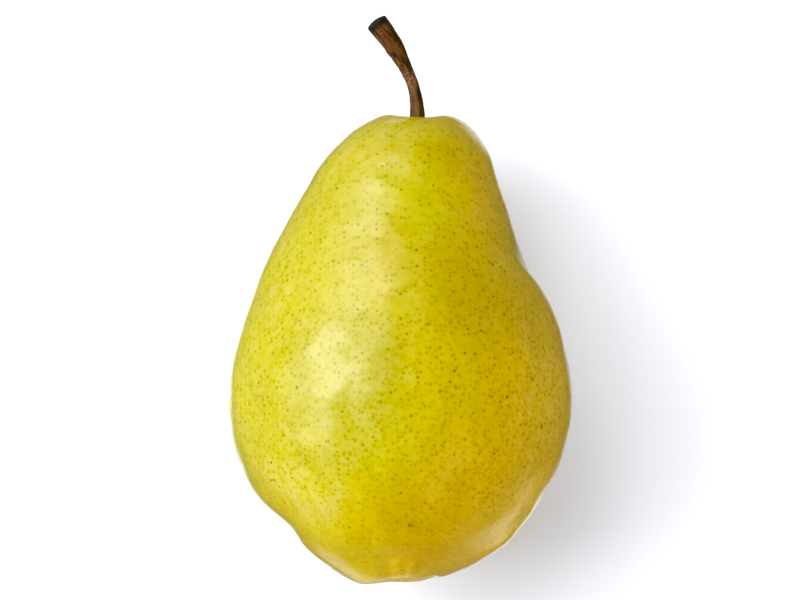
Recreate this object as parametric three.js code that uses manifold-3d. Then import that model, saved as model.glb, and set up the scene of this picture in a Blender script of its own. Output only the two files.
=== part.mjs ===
// A ripe pear lying on its side, as picked, with its stem and the dried calyx at its far end.
//
// Frame: millimetres, +Z up and +Y towards the stem, so +X is the fruit's right hand side when
// it is seen from above. The origin is the middle of the small flat spot that it rests on.
//
// The fruit is a turned shape whose points are then moved: it is five-lobed near the calyx, bent
// at the neck, and swells or sinks where the list below says. "Along" is the distance along its
// core line from the calyx end, and "turn" is the angle round that line, from +X towards +Z.

import * as THREE from 'three';
import { mergeVertices } from 'three/addons/utils/BufferGeometryUtils.js';
import Module from 'manifold-3d';

// ---- Driving dimensions: millimetres, and degrees for every turn, lean and angle ----

// How the fruit lies on the table: its core line leans down towards the neck.
const CORE_HEIGHT = 39.5;   // the calyx end of the core line above the table
const CORE_LEAN = 6.5;
const REST_ALONG = 41.2;    // the resting spot's place along Y from the calyx end

// Half outline of the fruit, [distance from the core line, along]: the control points of a
// smooth cubic curve, from the middle of the calyx basin to the middle of the stem cavity.
const OUTLINE = [
  [0.0, 6.0], [3.4, 5.6], [5.4, 0.3], [8.6, -0.8], [15.2, 3.7], [23.5, 9.4],
  [31.5, 20.0], [36.2, 34.6], [33.0, 50.6], [28.6, 64.0], [21.4, 76.2],
  [17.0, 87.8], [11.3, 92.6], [6.2, 95.6], [3.0, 94.6], [0.0, 92.8],
];
const OUTLINE_STEPS = 46;
const FRUIT_SIDES = 64;

// Swells and hollows: the middle of each, its height, and how far it fades out both ways.
const SWELLS = [
  { what: 'pinch below the neck', turn: 5, along: 64.9, height: -2.0, turnFade: 48, alongFade: 5.9 },
  { what: 'right shoulder', turn: 5, along: 75, height: -0.2, turnFade: 48, alongFade: 5 },
  { what: 'left waist', turn: 180, along: 56.2, height: -0.7, turnFade: 48, alongFade: 7 },
  { what: 'right valley', turn: 20, along: 16.7, height: -0.7, turnFade: 30, alongFade: 4.2 },
  { what: 'right cheek', turn: 8, along: 5.1, height: 2.8, turnFade: 45, alongFade: 3.6 },
  { what: 'left cheek', turn: 180, along: 24.8, height: 0.35, turnFade: 45, alongFade: 7 },
  { what: 'left hollow', turn: 188, along: 11.4, height: -1.7, turnFade: 30, alongFade: 2.6 },
  { what: 'underside keel', turn: 270, along: 54, height: 1.4, turnFade: 60, alongFade: 14 },
];
const SWELL_FULL_RADIUS = 12;   // nearer the core line than this, swells shrink to nothing

const THREE_SIDED = { turn: 35, depth: 0.008 };
const LOBES = { count: 5, turn: 71, depth: 0.022, fade: 14 };
const CALYX_END = { rimRadius: 10, rimWave: 0.15, tip: 0.07, tipFade: 12 };
const CALYX_SHIFT = { sideways: 1.0, along: 11, fade: 7 };
const NECK = { rimRadius: 8, saddle: 0.65, bendFrom: 70, bendOver: 26, bend: 4.25 };
const MIDWAY = 50;              // along: the calyx end's rules before it, the neck's past it

// The stem's middle line, [x, along, up], from its root in the neck to its cut end.
const STEM_PATH = [
  [3.0, 88.0, 0.0], [3.6, 95.3, 0.1], [3.0, 100.5, 0.5],
  [1.4, 105.0, 1.2], [-1.2, 109.9, 2.2], [-5.1, 114.8, 3.4],
];
const STEM_ROOT_LENGTH = 7.3;   // of the path's start that is inside the fruit
const STEM_WAIST_RADIUS = 1.2;
const STEM_FOOT = { extra: 0.34, fade: 3.6 };
const STEM_FLARE = { extra: 1.05, from: 6.9, to: 21.9 };
const STEM_SCARS = [
  { what: 'lower leaf scar', at: 8.9, turn: 180, height: 0.09, fade: 0.9 },
  { what: 'upper leaf scar', at: 15.0, turn: 180, height: 0.08, fade: 0.8 },
];
const STEM_SIDES = 18;
const STEM_STEPS = 30;
const STEM_CROWN = 0.3;         // how far the cut end bulges
const STEM_END_BEVEL = 0.35;

// The dried calyx: a cup in the basin's floor, five sepals and a tuft of stamens.
const CUP = { radius: 2.6, lip: 5.2, floor: 5.8, root: 8.4 };
const SEPALS = [
  { turn: 18, lean: 0.5, curl: 2.3, length: 5.2 },
  { turn: 92, lean: 0.3, curl: 1.2, length: 4.6 },
  { turn: 161, lean: 0.6, curl: 1.9, length: 5.4 },
  { turn: 236, lean: 0.2, curl: 0.5, length: 4.9 },
  { turn: 305, lean: 0.4, curl: 2.0, length: 5.0 },
];
const SEPAL = { foot: 1.8, rootAlong: 6.8, width: 2.9, thickness: 0.75, tipWidth: 0.6, sides: 8, steps: 8 };
const STAMENS = { count: 9, foot: 1.0, rootAlong: 6.6, length: 4.0, radius: 0.3, sides: 6, steps: 4 };
const GOLDEN_ANGLE = 137.5;

const CLEARANCE = 0.3;          // between a piece and the hole that it stands in
const TABLE_BLOCK = 200;        // bigger than the fruit, to trim its resting spot flat
const WELD = 1e-4;

const wasm = await Module();
wasm.setup();

const { degToRad, clamp, lerp, smoothstep } = THREE.MathUtils;

// ---- Solids ----

function solidOf(geometry) {
  const bare = geometry.clone();
  bare.deleteAttribute('normal');
  bare.deleteAttribute('uv');
  const merged = mergeVertices(bare, WELD);
  return new wasm.Manifold(new wasm.Mesh({
    numProp: 3,
    vertProperties: merged.getAttribute('position').array,
    triVerts: new Uint32Array(merged.index.array),
  }));
}

function meshOf(name, solid, material) {
  const { vertProperties, triVerts } = solid.getMesh();
  const geometry = new THREE.BufferGeometry();
  geometry.setAttribute('position', new THREE.BufferAttribute(vertProperties, 3));
  geometry.setIndex(new THREE.BufferAttribute(triVerts, 1));
  geometry.computeVertexNormals();
  const mesh = new THREE.Mesh(geometry, material);
  mesh.name = name;
  return mesh;
}

// A turned solid about the Y axis, with every one of its points then moved by a rule.
function turned(profile, sides, move) {
  const geometry = new THREE.LatheGeometry(profile, sides);
  const position = geometry.getAttribute('position');
  const point = new THREE.Vector3();
  for (let i = 0; i < position.count; i += 1) {
    move(point.fromBufferAttribute(position, i));
    position.setXYZ(i, point.x, point.y, point.z);
  }
  return geometry;
}

// From the fruit's own upright frame to the frame it lies in.
function lay(geometry) {
  return geometry.rotateX(-degToRad(CORE_LEAN)).translate(0, -REST_ALONG, CORE_HEIGHT);
}

// ---- Shape rules shared by the pieces ----

function bell(x) {
  return Math.exp(-x * x);
}

// 1 on a rim, when the radius is given in rim radii, and 0 on the core line and far outside.
function atRim(rimRadii) {
  return rimRadii ** 2 * Math.exp(1 - rimRadii ** 2);
}

function turnApart(a, b) {
  return THREE.MathUtils.euclideanModulo(a - b + 180, 360) - 180;
}

// How far the core line has moved towards +X.
function coreShift(along) {
  const bent = Math.max((along - NECK.bendFrom) / NECK.bendOver, 0);
  return NECK.bend * bent ** 2
    + CALYX_SHIFT.sideways * bell((along - CALYX_SHIFT.along) / CALYX_SHIFT.fade);
}

// ---- The fruit ----

// A point of the uniform cubic B-spline through the outline's control points, which are mirrored
// in the core line at both ends so that the curve meets it square. t runs from 0 to 1.
function outlinePoint(t) {
  const mirror = ([radius, along]) => [-radius, along];
  const last = OUTLINE.length - 1;
  const controls = [mirror(OUTLINE[1]), ...OUTLINE, mirror(OUTLINE[last - 1])];
  const span = Math.min(Math.floor(t * last), last - 1);
  const f = t * last - span;
  const weights = [
    (1 - f) ** 3 / 6,
    (3 * f ** 3 - 6 * f ** 2 + 4) / 6,
    (-3 * f ** 3 + 3 * f ** 2 + 3 * f + 1) / 6,
    f ** 3 / 6,
  ];
  const blend = (axis) => weights.reduce((sum, weight, k) => sum + weight * controls[span + k][axis], 0);
  return new THREE.Vector2(blend(0), blend(1));
}

function outlineProfile() {
  const points = [];
  for (let step = 0; step <= OUTLINE_STEPS; step += 1) {
    points.push(outlinePoint(step / OUTLINE_STEPS));
  }
  points[0].x = 0;
  points[OUTLINE_STEPS].x = 0;
  return points;
}

function swellAt(turn, along) {
  return SWELLS.reduce((sum, swell) => sum + swell.height
    * bell(turnApart(turn, swell.turn) / swell.turnFade)
    * bell((along - swell.along) / swell.alongFade), 0);
}

// Moves a point of the turned shape to where it is on this fruit.
function growFruit(point) {
  const radius = Math.hypot(point.x, point.z);
  const angle = Math.atan2(point.z, point.x);
  const turn = THREE.MathUtils.radToDeg(angle);
  let along = point.y;

  const lobe = Math.cos(LOBES.count * degToRad(turn - LOBES.turn));
  const threeSided = THREE_SIDED.depth * Math.cos(3 * degToRad(turn - THREE_SIDED.turn));
  const lobed = LOBES.depth * lobe * bell(Math.max(along, 0) / LOBES.fade);
  const swell = swellAt(turn, along) * clamp(radius / SWELL_FULL_RADIUS, 0, 1);
  const grown = radius * (1 + lobed + threeSided) + swell;
  const shift = coreShift(along);

  if (along < MIDWAY) {
    along -= CALYX_END.rimWave * lobe * atRim(radius / CALYX_END.rimRadius);
  } else {
    along += NECK.saddle * Math.cos(2 * angle) * atRim(radius / NECK.rimRadius);
  }
  const x = grown * Math.cos(angle);
  along += CALYX_END.tip * x * bell(along / CALYX_END.tipFade);
  point.set(x + shift, along, grown * Math.sin(angle));
}

function buildFruit() {
  const body = solidOf(lay(turned(outlineProfile(), FRUIT_SIDES, growFruit)));
  const table = new THREE.BoxGeometry(TABLE_BLOCK, TABLE_BLOCK, TABLE_BLOCK);
  table.translate(0, 0, -TABLE_BLOCK / 2);
  return body.subtract(solidOf(table)).subtract(stemSocket()).subtract(calyxSeat());
}

// ---- The stem ----

// The stem's radius at a distance from the neck: a little thicker at its foot, then a waist,
// then a flare towards the cut end.
function stemRadius(distance) {
  const foot = STEM_FOOT.extra * bell(Math.max(distance, 0) / STEM_FOOT.fade);
  const flare = STEM_FLARE.extra * smoothstep(distance, STEM_FLARE.from, STEM_FLARE.to);
  return STEM_WAIST_RADIUS + foot + flare;
}

// A rule that carries a solid turned about the Y axis onto a bent middle line.
function bendAlong(curve) {
  const length = curve.getLength();
  const up = new THREE.Vector3(0, 0, 1);
  return (point) => {
    const t = clamp(point.y / length, 0, 1);
    const past = point.y - t * length;
    const tangent = curve.getTangentAt(t);
    const side = new THREE.Vector3().crossVectors(tangent, up).normalize();
    const lift = new THREE.Vector3().crossVectors(side, tangent);
    const { x, z } = point;
    point.copy(curve.getPointAt(t));
    point.addScaledVector(side, x).addScaledVector(lift, z).addScaledVector(tangent, past);
  };
}

function stemCurve() {
  return new THREE.CatmullRomCurve3(STEM_PATH.map((place) => new THREE.Vector3(...place)));
}

// The leaf scars stand out on one side of the stem.
function scarHeight(turn, distance) {
  return STEM_SCARS.reduce((sum, scar) => sum + scar.height
    * Math.max(Math.cos(degToRad(turn - scar.turn)), 0)
    * bell((distance - scar.at) / scar.fade), 0);
}

function buildStem() {
  const curve = stemCurve();
  const length = curve.getLength();
  const sideLength = length - STEM_END_BEVEL;
  const endRadius = stemRadius(length - STEM_ROOT_LENGTH);
  const profile = [new THREE.Vector2(0, 0)];
  for (let step = 0; step <= STEM_STEPS; step += 1) {
    const y = sideLength * step / STEM_STEPS;
    profile.push(new THREE.Vector2(stemRadius(y - STEM_ROOT_LENGTH), y));
  }
  profile.push(new THREE.Vector2(endRadius - STEM_END_BEVEL, length));
  profile.push(new THREE.Vector2(0, length + STEM_CROWN));

  const bend = bendAlong(curve);
  const grow = (point) => {
    const turn = THREE.MathUtils.radToDeg(Math.atan2(point.z, point.x));
    const distance = point.y - STEM_ROOT_LENGTH;
    const radius = Math.hypot(point.x, point.z);
    const scale = radius > 0 ? 1 + scarHeight(turn, distance) / radius : 1;
    point.x *= scale;
    point.z *= scale;
    bend(point);
  };
  return solidOf(lay(turned(profile, STEM_SIDES, grow)));
}

// A plain hole that follows the stem's root, a clearance wider and deeper than it.
function stemSocket() {
  const curve = stemCurve();
  const radius = stemRadius(0) + CLEARANCE;
  const mouth = STEM_ROOT_LENGTH + 4 * radius;
  const profile = [[0, -CLEARANCE], [radius, -CLEARANCE], [radius, mouth / 2], [radius, mouth], [0, mouth]];
  const points = profile.map(([x, y]) => new THREE.Vector2(x, y));
  return solidOf(lay(turned(points, STEM_SIDES, bendAlong(curve))));
}

// ---- The calyx ----

function buildCup() {
  const shift = coreShift(CUP.lip);
  const { radius, lip, floor, root } = CUP;
  const profile = [
    [0, floor], [0.6 * radius, floor], [0.85 * radius, lip], [radius, lip + 0.3], [radius, root], [0, root],
  ];
  const points = profile.map(([x, y]) => new THREE.Vector2(x, y));
  return solidOf(lay(turned(points, STEM_SIDES, (point) => point.setX(point.x + shift))));
}

// A slim closed blade that stands in the cup at a turn and bends outwards as it rises.
// halfWidth and halfThickness give its section from its root, 0, to its tip, 1.
function blade({ turn, foot, lean, curl, length, rootAlong, sides, steps, halfWidth, halfThickness }) {
  const profile = [new THREE.Vector2(0, 0)];
  for (let step = 0; step <= steps; step += 1) {
    profile.push(new THREE.Vector2(1, step / steps));
  }
  profile.push(new THREE.Vector2(0, 1));

  const angle = degToRad(turn);
  const outward = new THREE.Vector3(Math.cos(angle), 0, Math.sin(angle));
  const across = new THREE.Vector3(-Math.sin(angle), 0, Math.cos(angle));
  const shift = coreShift(CUP.lip);
  return solidOf(lay(turned(profile, sides, (point) => {
    const t = point.y;
    const ahead = new THREE.Vector3().addScaledVector(outward, lean + 2 * curl * t);
    ahead.setY(-length).normalize();
    const face = new THREE.Vector3().crossVectors(across, ahead);
    const { x, z } = point;
    point.copy(outward).multiplyScalar(foot + lean * t + curl * t ** 2);
    point.setY(rootAlong - length * t);
    point.addScaledVector(across, x * halfWidth(t)).addScaledVector(face, z * halfThickness(t));
    point.x += shift;
  })));
}

function buildSepal(sepal) {
  return blade({
    ...sepal,
    ...SEPAL,
    halfWidth: (t) => lerp(SEPAL.width, SEPAL.tipWidth, t ** 1.5) / 2,
    halfThickness: (t) => lerp(SEPAL.thickness, SEPAL.tipWidth, t) / 2,
  });
}

function buildStamen(index) {
  return blade({
    ...STAMENS,
    turn: index * GOLDEN_ANGLE,
    lean: 0.4 * Math.sin(2 * index),
    curl: 0.5 * Math.cos(3 * index),
    length: STAMENS.length * (0.85 + 0.15 * Math.sin(5 * index)),
    halfWidth: () => STAMENS.radius,
    halfThickness: () => STAMENS.radius,
  });
}

function buildCalyx() {
  let calyx = buildCup();
  SEPALS.forEach((sepal) => {
    calyx = calyx.add(buildSepal(sepal));
  });
  for (let index = 0; index < STAMENS.count; index += 1) {
    calyx = calyx.add(buildStamen(index));
  }
  return calyx;
}

// The plain round seat in the basin's floor that the cup stands in.
function calyxSeat() {
  const radius = CUP.radius + CLEARANCE;
  const root = CUP.root + CLEARANCE;
  const mouth = CUP.lip - 2 * radius;
  const seat = new THREE.CylinderGeometry(radius, radius, root - mouth, STEM_SIDES);
  seat.translate(coreShift(CUP.lip), (root + mouth) / 2, 0);
  return solidOf(lay(seat));
}

// ---- The pear ----

const skin = new THREE.MeshStandardMaterial({ color: 0xd6c935, roughness: 0.42, metalness: 0 });
const bark = new THREE.MeshStandardMaterial({ color: 0x6a4016, roughness: 0.75, metalness: 0 });
const driedSepal = new THREE.MeshStandardMaterial({ color: 0x4d3a24, roughness: 0.9, metalness: 0 });

const pear = new THREE.Group();
pear.name = 'pear';
pear.add(meshOf('fruit', buildFruit(), skin));
pear.add(meshOf('stem', buildStem(), bark));
pear.add(meshOf('calyx', buildCalyx(), driedSepal));

export default pear;
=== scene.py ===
"""A ripe pear lying on its side, with its stem and dried calyx, on a white table.

Shapes are worked out in millimetres and put into meshes in metres. "Along" is the distance along
the fruit's core line from its calyx end, and "turn" is the angle round that line, from +X towards
+Z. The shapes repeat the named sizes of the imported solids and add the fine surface. Only these
differ: the stem's end edge is rounder here and its upper bud scar a little higher, the sepals are
thinner, and there are more and thinner stamens.
"""

import bpy
import numpy as np
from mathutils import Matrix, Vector


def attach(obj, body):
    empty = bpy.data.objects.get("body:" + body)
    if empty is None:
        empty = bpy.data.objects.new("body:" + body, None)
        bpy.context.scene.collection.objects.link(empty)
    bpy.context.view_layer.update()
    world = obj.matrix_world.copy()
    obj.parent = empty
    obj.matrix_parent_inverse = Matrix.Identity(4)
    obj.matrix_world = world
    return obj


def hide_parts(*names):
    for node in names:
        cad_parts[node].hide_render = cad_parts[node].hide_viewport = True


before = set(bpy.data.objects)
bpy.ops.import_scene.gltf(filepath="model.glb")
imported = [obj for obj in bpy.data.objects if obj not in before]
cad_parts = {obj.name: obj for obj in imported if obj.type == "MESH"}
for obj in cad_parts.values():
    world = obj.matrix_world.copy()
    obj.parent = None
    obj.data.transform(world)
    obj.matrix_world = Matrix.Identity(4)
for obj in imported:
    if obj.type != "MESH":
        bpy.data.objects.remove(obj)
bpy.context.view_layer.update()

MM = 0.001

# ---- The fruit's sizes: millimetres and degrees, as in the solids ----

CORE_HEIGHT = 39.5
CORE_LEAN = np.radians(6.5)
REST_ALONG = 41.2

# The control points of the half outline, from the calyx basin round the belly to the stem
# cavity: radius, along.
OUTLINE = np.array([
    (0.0, 6.0), (3.4, 5.6), (5.4, 0.3), (8.6, -0.8), (15.2, 3.7), (23.5, 9.4),
    (31.5, 20.0), (36.2, 34.6), (33.0, 50.6), (28.6, 64.0), (21.4, 76.2),
    (17.0, 87.8), (11.3, 92.6), (6.2, 95.6), (3.0, 94.6), (0.0, 92.8),
])
# Each swell or hollow: turn, along, height, and how far it fades out round and along.
SWELLS = {
    "pinch below the neck": (5, 64.9, -2.0, 48, 5.9),
    "right shoulder": (5, 75, -0.2, 48, 5),
    "left waist": (180, 56.2, -0.7, 48, 7),
    "right valley": (20, 16.7, -0.7, 30, 4.2),
    "right cheek": (8, 5.1, 2.8, 45, 3.6),
    "left cheek": (180, 24.8, 0.35, 45, 7),
    "left hollow": (188, 11.4, -1.7, 30, 2.6),
    "underside keel": (270, 54, 1.4, 60, 14),
}
SWELL_FULL_RADIUS = 12
THREE_SIDED_TURN = 35
THREE_SIDED_DEPTH = 0.008
LOBE_COUNT = 5
LOBE_TURN = 71
LOBE_DEPTH = 0.022
LOBE_FADE = 14
CALYX_RIM_RADIUS = 10
CALYX_RIM_WAVE = 0.15
CALYX_TIP = 0.07
CALYX_TIP_FADE = 12
CALYX_SHIFT = (1.0, 11, 7)              # sideways, along, fade
NECK_RIM_RADIUS = 8
NECK_SADDLE = 0.65
NECK_BEND = (4.25, 70, 26)              # sideways, where it starts, over what length
MIDWAY = 50                             # the calyx rim's rules hold below, the neck rim's above
STRAIGHT_RADIUS = 30                    # of the even tube that the skin's patches are drawn on

FRUIT_ROWS = 330
FRUIT_COLUMNS = 288
OUTLINE_STEPS = 4000

# Fine unevenness is a sum of layers, each with its wavelength, height and seed.
SKIN_LUMPS = ((24.0, 0.12, 11), (11.0, 0.085, 12), (5.5, 0.024, 13), (2.6, 0.007, 14))
LUMP_WAVES = 26
LUMP_SPREAD = (0.75, 1.3)               # shortest and longest wave of a layer, in wavelengths

# ---- The stem's sizes ----

STEM_PATH = np.array([
    (3.0, 88.0, 0.0), (3.6, 95.3, 0.1), (3.0, 100.5, 0.5),
    (1.4, 105.0, 1.2), (-1.2, 109.9, 2.2), (-5.1, 114.8, 3.4),
])
STEM_ROOT_LENGTH = 7.3
STEM_WAIST_RADIUS = 1.2
STEM_FOOT = (0.34, 3.6)                 # extra radius, fade
STEM_FLARE = (1.05, 6.9, 21.9)          # extra radius, from, to
STEM_SCARS = ((8.9, 180, 0.09, 0.9), (15.0, 180, 0.16, 0.9))   # at, turn, height, fade
STEM_CROWN = 0.3
STEM_END_BEVEL = 0.6
STEM_RIDGES = ((1.5, 0.055, 21), (0.6, 0.03, 22))
STEM_KNOBS = ((3.5, 0.02, 23), (0.9, 0.015, 24))
RIDGE_DRAW = (1, 0.12, 1)               # what draws the ridges out lengthwise
STEM_ROWS = 250
STEM_BEVEL_ROWS = 7
STEM_CUT_ROWS = 14
STEM_COLUMNS = 96
STEM_LINE_STEPS = 2001

# ---- The calyx's sizes ----

CUP_RADIUS = 2.6
CUP_LIP = 5.2
CUP_FLOOR = 5.8
CUP_ROOT = 8.4
# The cup's turned outline, from its floor over the lip to its root: share of its radius, along.
CUP_OUTLINE = np.array([
    (0, CUP_FLOOR), (0.3, CUP_FLOOR), (0.6, CUP_FLOOR - 0.05), (0.78, CUP_LIP + 0.15),
    (0.86, CUP_LIP), (0.95, CUP_LIP + 0.08), (1, CUP_LIP + 0.35), (1, CUP_ROOT), (0, CUP_ROOT),
])
CUP_CORNERS = (5, 0.03)                 # count, depth
CUP_RIPPLE = (11, 0.08, 0.7)            # count, height, the share of the radius it starts from
CUP_COLUMNS = 80

# Each sepal: turn, lean, curl and length.
SEPALS = (
    (18, 0.5, 2.3, 5.2), (92, 0.3, 1.2, 4.6), (161, 0.6, 1.9, 5.4), (236, 0.2, 0.5, 4.9),
    (305, 0.4, 2.0, 5.0),
)
SEPAL_FOOT = 1.8
SEPAL_ROOT_ALONG = 6.8
SEPAL_WIDTH = 2.9
SEPAL_TIP_WIDTH = 0.5
SEPAL_TAPER = 1.5                       # above 1, it narrows mostly near its tip
SEPAL_THICKNESS = 0.5
SEPAL_THINNING = 0.2
SEPAL_CUPPING = 0.12
SEPAL_CRUMPLE = ((3.0, 0.12, 31), (1.0, 0.04, 32))
STAMEN_COUNT = 18
STAMEN_FOOT = (0.5, 0.5)                # of the innermost, and how much further out the outermost
STAMEN_ROOT_ALONG = 6.6
STAMEN_LENGTH = (3.2, 0.8)              # middle, and how much longer or shorter
STAMEN_LEAN = 0.5
STAMEN_CURL = 0.7
STAMEN_RADIUS = 0.16
STAMEN_KNOB = (0.9, 0.93, 0.06)         # extra share of the radius, where on its length, fade
GOLDEN_ANGLE = 137.5
BLADE_ROWS = 30
BLADE_COLUMNS = 28

# ---- The studio: metres, and millimetres on the table ----

CAMERA_PLACE = (0.0, 0.0158, 0.75)
CAMERA_LENS = 157.2
SENSOR_WIDTH = 36.0

FLOOR_SIZE = 6.0
TABLE_WHITE = (0.865, 0.89, 0.975, 1)
TABLE_ROUGHNESS = 0.9
MIRRORED_TABLE = 0.12                   # the share of the table's light that its mirror image keeps
# Where the table's mirror image stays bright: the middle on the table in millimetres, the
# distances within which it is full and past which it is none, and how bright it is.
BRIGHT_PATCHES = (
    ((66, -80, 0), 12, 34, 0.8), ((23, 63, 0), 9, 17, 1.0), ((-4, 84, 0), 4, 11, 0.6),
    ((-22, -98, 0), 20, 44, 0.9), ((0, -4, 0), 44, 54, 0.9), ((5, 38, 0), 24, 33, 0.9),
)
# Where the mirror image also glows, which whitens the rims of the skin above it: the same four.
GLOWING_PATCHES = (((28, -36, 0), 7, 14, 0.8), ((0, -50, 0), 6, 13, 0.5))
GLOW_TINT = (1.0, 0.95, 0.86, 1)

ROOM_WHITE = (1, 1, 1, 1)
ROOM_LIGHT = 0.25
LAMPS_AIM = (0.0, 0.0, 0.035)
MIRRORED_TINT = (0.90, 0.93, 1.0)
# Softboxes that only mirror in the skin: degrees from overhead, degrees from -X towards +Y,
# distance, width, height and radiance.
MIRRORED_SOFTBOXES = {
    "key mirrored": (49, 25, 1.1, 0.54, 0.52, 5.2),
    "strip mirrored": (52, 40, 1.1, 1.90, 0.66, 1.1),
    "upper mirrored": (61, 62, 1.1, 0.42, 0.52, 2.8),
    "far mirrored": (80, 50, 1.1, 0.60, 0.40, 1.2),
    "low mirrored": (52.5, -12, 1.1, 0.34, 0.45, 2.4),
    "lowest mirrored": (58, -32, 1.1, 0.50, 0.50, 1.6),
    "sheet mirrored": (58, 25, 1.2, 2.80, 1.00, 0.9),
}
# Softboxes that light everything but don't mirror: the same six.
LIGHTING_SOFTBOXES = {
    "left window": (34, 0, 1.2, 0.80, 0.80, 1.26),
    "middle window": (34, 45, 1.2, 0.80, 0.80, 3.43),
    "side window": (50, 10, 1.2, 0.80, 0.80, 5.03),
    "back window": (50, 90, 1.2, 0.80, 0.80, 2.68),
    "front fill": (40, -120, 1.2, 0.80, 0.80, 1.89),
    "low fill": (62, -120, 1.2, 0.80, 0.80, 1.70),
}
BLUE_CURVE = 2                          # the place of blue among the print's colour curves
BLUE_FLOOR = 0.016                      # blue below this level prints as none


# ---- Meshes ----

def closed_mesh(name, grids, straight=None):
    """A mesh of one or more closed surfaces. Each grid of points, rows x columns x 3, closes on
    itself column by column, and its first and last rows shrink to one point each. straight, where
    given, is a second grid of places that is kept on the mesh as an attribute."""
    vertices, faces = [], []
    start = 0
    for grid in grids:
        inner = grid[1:-1]
        rows, columns = inner.shape[:2]
        poles = np.stack([grid[0].mean(axis=0), grid[-1].mean(axis=0)])
        vertices.append(np.vstack([inner.reshape(-1, 3), poles]))
        index = start + np.arange(rows * columns).reshape(rows, columns)
        after = np.roll(index, -1, axis=1)
        first_pole = np.full(columns, start + rows * columns)
        quads = np.stack([index[:-1], index[1:], after[1:], after[:-1]], axis=-1).reshape(-1, 4)
        first_fan = np.stack([first_pole, index[0], after[0]], axis=-1)
        last_fan = np.stack([first_pole + 1, after[-1], index[-1]], axis=-1)
        faces += quads.tolist() + first_fan.tolist() + last_fan.tolist()
        start += rows * columns + 2
    mesh = bpy.data.meshes.new(name)
    mesh.from_pydata((np.vstack(vertices) * MM).tolist(), [], faces)
    mesh.polygons.foreach_set("use_smooth", np.ones(len(faces), dtype=bool))
    if straight is not None:
        poles = np.stack([straight[0].mean(axis=0), straight[-1].mean(axis=0)])
        places = np.vstack([straight[1:-1].reshape(-1, 3), poles])
        attribute = mesh.attributes.new("straight", "FLOAT_VECTOR", "POINT")
        attribute.data.foreach_set("vector", places.astype(np.float32).ravel())
    mesh.update()
    return mesh


def add_piece(name, node, material, grids, straight=None):
    """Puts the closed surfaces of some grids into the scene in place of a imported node."""
    mesh = closed_mesh(name, grids, straight)
    mesh.materials.append(material)
    piece = bpy.data.objects.new(name, mesh)
    bpy.context.scene.collection.objects.link(piece)
    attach(piece, "root")
    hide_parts(node)


# ---- Shape rules shared by the pieces ----

def bell(x):
    """1 at 0, falling smoothly to nothing on both sides: e to the minus x squared."""
    return np.exp(-x * x)


def smooth_step(x, low, high):
    """0 below low and 1 above high. Between them, with f the share of the way from low to high,
    it is f squared times 3 less 2 f."""
    f = np.clip((x - low) / (high - low), 0, 1)
    return f * f * (3 - 2 * f)


def at_rim(rim_radii):
    """The square of a radius given in rim radii, times e to the power of 1 less that square: 1 on
    the rim, and 0 on the core line and far out."""
    return rim_radii ** 2 * np.exp(1 - rim_radii ** 2)


def turn_apart(a, b):
    """The angle from b to a, in degrees, from -180 to 180."""
    return (a - b + 180) % 360 - 180


def even_turns(columns):
    """Evenly spaced angles once round, in radians."""
    return np.linspace(0, 2 * np.pi, columns, endpoint=False)


def length_along(points):
    """The length of a line of points from its start to each of them: the sum of its steps."""
    steps = np.linalg.norm(np.diff(points, axis=0), axis=1)
    return np.concatenate([[0], np.cumsum(steps)])


def between(at, knots, values):
    """Rows of values at places between the knots, in a straight line from knot to knot."""
    return np.stack([np.interp(at, knots, column) for column in values.T], axis=-1)


def core_shift(along):
    """How far the core line has moved towards +X: the square of the way into the bent neck, plus
    a small bell near the calyx."""
    sideways, start, over = NECK_BEND
    bent = np.maximum((along - start) / over, 0)
    aside, middle, fade = CALYX_SHIFT
    return sideways * bent ** 2 + aside * bell((along - middle) / fade)


def lay(points):
    """From the fruit's own upright frame to the frame it lies in: a turn about X by the core
    line's lean, then a shift that brings the resting spot to the origin."""
    x, along, up = np.moveaxis(points, -1, 0)
    y = along * np.cos(CORE_LEAN) + up * np.sin(CORE_LEAN) - REST_ALONG
    z = up * np.cos(CORE_LEAN) - along * np.sin(CORE_LEAN) + CORE_HEIGHT
    return np.stack([x, y, z], axis=-1)


def soft_lumps(points, wavelength, seed):
    """A smooth random height at each point, of about -1 to 1: the sum of cosine waves of about
    one wavelength, each with its own seeded direction and phase."""
    random = np.random.default_rng(seed)
    direction = random.normal(size=(LUMP_WAVES, 3))
    direction /= np.linalg.norm(direction, axis=1, keepdims=True)
    pace = 2 * np.pi / (wavelength * random.uniform(*LUMP_SPREAD, size=(LUMP_WAVES, 1)))
    phase = random.uniform(0, 2 * np.pi, LUMP_WAVES)
    waves = np.cos(points @ (direction * pace).T + phase)
    return waves.sum(axis=-1) * np.sqrt(2 / LUMP_WAVES)


def layered_lumps(points, layers):
    """The sum over all layers of unevenness of a layer's height times its soft lumps."""
    return sum(
        height * soft_lumps(points, wavelength, seed) for wavelength, height, seed in layers
    )


def outward(points):
    """Unit normals of a closed grid: the cross product of the step along and the step round."""
    step_along = np.gradient(points, axis=0)
    step_round = np.roll(points, -1, axis=1) - np.roll(points, 1, axis=1)
    normal = np.cross(step_along, step_round)
    length = np.linalg.norm(normal, axis=-1, keepdims=True)
    return normal / np.maximum(length, 1e-9)


def raised(points, height):
    """The grid moved along its outward normals by a height at each point."""
    return points + outward(points) * height[..., None]


# ---- The fruit ----

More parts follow.
